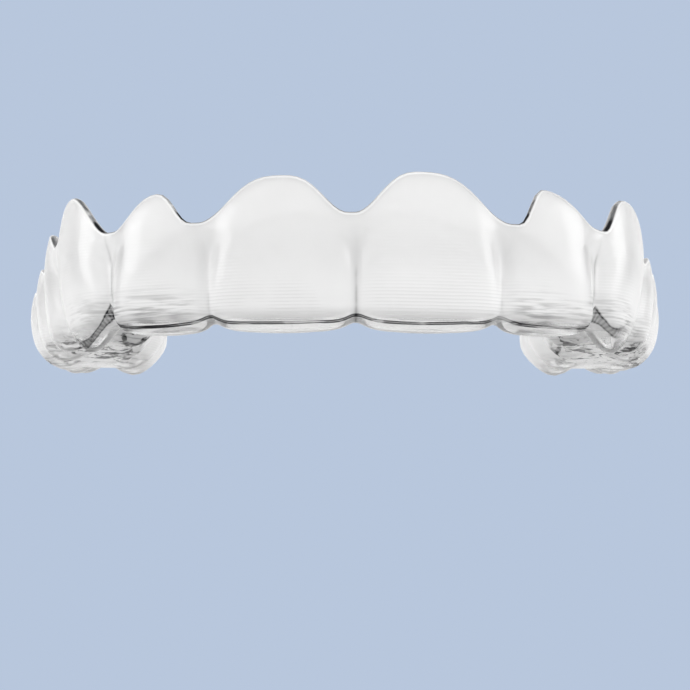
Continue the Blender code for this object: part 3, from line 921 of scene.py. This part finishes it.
def painted_edge_reflection(surface):
    """Painted reflection on the cut edge: faintly dark all along it, and dark where it climbs beside the
    laterals and canines and in the dips at the front.
    """
    tree = surface.tree
    dips = tree.fade(surface.height, *DIPS_END) * tree.fade(surface.behind, *FRONT_ENDS)
    shown = 0.15 + (0.65 * surface.mark("climb") + 0.5 * dips) * surface.outer
    return surface.cut * shown * tree.ramp(surface.noise(700.0, 3.0), 0.25, 0.50)


def low_streaks(surface):
    """Fine darker streaks low on the faces: along the mould's level lines, and in horizontal streaks on the
    laterals and canines.
    """
    tree, height, noise = surface.tree, surface.height, surface.noise
    lines = tree.ramp(surface.layers, 0.1, 0.9) * tree.ramp(surface.patches, 0.42, 0.6)
    lines *= tree.ramp(height, *LOW_LINES_BEGIN) * tree.fade(height, *LOW_LINES_END)
    side_streaks = tree.ramp(noise(420.0, 4.0, 14.0), 0.42, 0.62) * tree.ramp(noise(260.0, 2.0), 0.35, 0.60)
    side_streaks *= tree.ramp(surface.along.size(), *LATERALS_BEGIN) * tree.fade(height, *SIDE_STREAKS_ENDS)
    return (0.10 * lines + 0.45 * side_streaks * (1 - surface.back_teeth)) * surface.outer


def painted_crease_shade(surface):
    """Painted shade in the grooves: a thin dark line at each contact, longer from the canines on, and a
    soft one at the midline.
    """
    tree, height = surface.tree, surface.height
    contact, away = surface.mark("contact"), surface.along.size()
    off_midline = tree.ramp(away, *MIDLINE_ENDS)
    far_ones = tree.ramp(away, *LATERALS_HALFWAY)
    above_short = tree.ramp(height, *CREASES_END) * (1 - far_ones)
    above_long = tree.ramp(height, *LONG_CREASES_END) * far_ones
    thin = contact**3 * tree.ramp(surface.noise(500.0, 3.0), 0.3, 0.6) * (1 - above_short - above_long)
    soft = contact * (1 - off_midline) * tree.fade(height, *SOFT_CREASE_ENDS)
    strength = 0.38 - 0.2 * off_midline * (1 - far_ones)
    return (strength * thin + 0.10 * soft) * (1 - surface.cut) * surface.outer


def new_material(name):
    """A material and its tree."""
    material = bpy.data.materials.new(name)
    material.use_nodes = True
    return material, Tree(material.node_tree)


def placed(name, data):
    """A new object in the scene."""
    made = bpy.data.objects.new(name, data)
    bpy.context.scene.collection.objects.link(made)
    return made


def clear_plastic():
    """Clear sheet, milky over the walls, with a near-black shader for the painted dark reflections, painted
    crease shade, painted refraction glints and darker streaks on it.
    """
    material, tree = new_material("clear_plastic")
    surface = Surface(tree)
    sockets = {"Strength": 0.14, "Distance": BUMP_DEPTH, "Height": relief(surface)}
    bump = tree.node("ShaderNodeBump", None, sockets).outputs[0]
    # Painted reflections and shade: these dark lines and glints mix the plastic towards the near-black
    # shader
    lines = painted_corner_reflection(surface) + painted_edge_reflection(surface) + painted_crease_shade(surface)
    dark = (lines + painted_underside_reflections(surface) + low_streaks(surface)).held()
    clear = tree.own("Principled BSDF", {
        "Base Color": (1.0, 1.0, 1.0, 1.0), "Roughness": 0.05 + 0.08 * surface.clouds,
        "Transmission Weight": 1.0, "IOR": 1.5, "Normal": bump,
    })
    milky = tree.node("ShaderNodeBsdfPrincipled", None, {
        "Base Color": tree.mix(surface.clouds, *MILKY_COLOURS), "Roughness": 0.25,
        "IOR": 1.5, "Normal": bump,
    })
    shade = tree.node("ShaderNodeBsdfPrincipled", None, {
        "Base Color": (*NEAR_BLACK, 1.0), "Roughness": 0.6, "Specular IOR Level": 0.1,
    })
    plastic = tree.blend(milkiness(surface), clear.outputs[0], milky.outputs[0])
    tree.own("Material Output", {"Surface": tree.blend(dark, plastic, shade.outputs[0])})
    return material


def aligner():
    """The whole sheet as one closed piece."""
    crowns = row_of_crowns()
    skin = placed("skin", skin_mesh(*outer_skin(crowns, Arch(crowns))))
    modifier = skin.modifiers.new("Sheet", "NODES")
    modifier.node_group = sheet_tree()
    values = {"Wall": WALL * MM, "Cut squareness": CUT_SQUARENESS, "Plastic": clear_plastic()}
    for item in modifier.node_group.interface.items_tree:
        if item.name in values:
            modifier[item.identifier] = values[item.name]
    evaluated = skin.evaluated_get(bpy.context.evaluated_depsgraph_get())
    mesh = bpy.data.meshes.new_from_object(evaluated)
    mesh.name = "formed_sheet"
    bpy.data.objects.remove(skin)
    piece = placed("formed_sheet", mesh)
    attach(piece, "root")
    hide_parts("aligner")


def studio_floor():
    """A pale table top, which the camera sees through from below, as the photograph looks up a little."""
    mesh = bpy.data.meshes.new("table")
    corners = [(x * TABLE_HALF, y * TABLE_HALF, 0) for x, y in ((-1, -1), (1, -1), (1, 1), (-1, 1))]
    mesh.from_pydata(corners, [], [(0, 1, 2, 3)])
    material, tree = new_material("table")
    camera, in_plastic = tree.ray_kinds()
    shader = tree.own("Principled BSDF", {
        "Base Color": tree.mix(camera, TABLE, PALE), "Roughness": 0.8, "Specular IOR Level": 0.2,
    })
    glow = tree.node("ShaderNodeEmission", None, {"Color": (*PALE_IN_PLASTIC, 1.0)})
    nothing = tree.node("ShaderNodeBsdfTransparent")
    from_below = tree.number("ShaderNodeNewGeometry", "Backfacing")
    place = tree.node("ShaderNodeTexCoord").outputs["Object"]
    away = tree.number("ShaderNodeVectorMath", "Value", {"operation": "LENGTH"}, {0: place})
    unseen = camera * (from_below + tree.ramp(away, *TABLE_FADES)).held()
    lit = tree.blend(in_plastic, shader.outputs[0], glow.outputs[0])
    tree.own("Material Output", {"Surface": tree.blend(unseen, lit, nothing.outputs[0])})
    mesh.materials.append(material)
    placed("table", mesh)


def surroundings():
    """An even world, pale where it is seen, and in the plastic too, up to a dark ceiling and dark sides."""
    world = bpy.data.worlds.new("studio")
    world.use_nodes = True
    bpy.context.scene.world = world
    tree = Tree(world.node_tree)
    camera, in_plastic = tree.ray_kinds()
    direction = tree.node("ShaderNodeTexCoord").outputs["Generated"]
    rise = tree.number("ShaderNodeSeparateXYZ", "Z", None, {0: direction})
    sideways = tree.number("ShaderNodeSeparateXYZ", "X", None, {0: direction}).size()
    dark = (tree.ramp(rise, *CEILING_BEGINS) + tree.ramp(sideways, *SIDES_BEGIN)).held() * (1 - camera)
    shown = tree.mix(dark, tree.mix(camera, PALE_IN_PLASTIC, PALE), CEILING)
    tree.own("Background", {"Color": tree.mix((camera + in_plastic).held(), AMBIENT, shown)})


def softbox(name, place, width, height, watts):
    """A soft lamp that points at the sheet."""
    data = bpy.data.lights.new(name, "AREA")
    data.shape = "RECTANGLE"
    data.size = width
    data.size_y = height
    data.energy = watts
    lamp = placed(name, data)
    lamp.visible_camera = False
    lamp.location = place
    away = np.array(place) - np.array(LIT_PLACE)
    level = math.hypot(away[0], away[1])
    lamp.rotation_euler = (math.atan2(level, away[2]), 0.0, math.atan2(away[0], -away[1]))


def photo_camera():
    """The camera at the photograph's place and angle."""
    data = bpy.data.cameras.new("camera")
    data.lens = LENS
    data.sensor_width = SENSOR
    data.clip_start = MM
    eye = placed("camera", data)
    eye.location = (CAMERA_X, cad_box[0][1] - AWAY, CAMERA_Z)
    eye.rotation_euler = (math.radians(90.0 + PITCH), 0.0, math.radians(-YAW))
    bpy.context.scene.camera = eye


bpy.context.scene.view_settings.view_transform = "Standard"
photo_camera()
aligner()
studio_floor()
surroundings()
for lamp in LAMPS:
    softbox(*lamp)
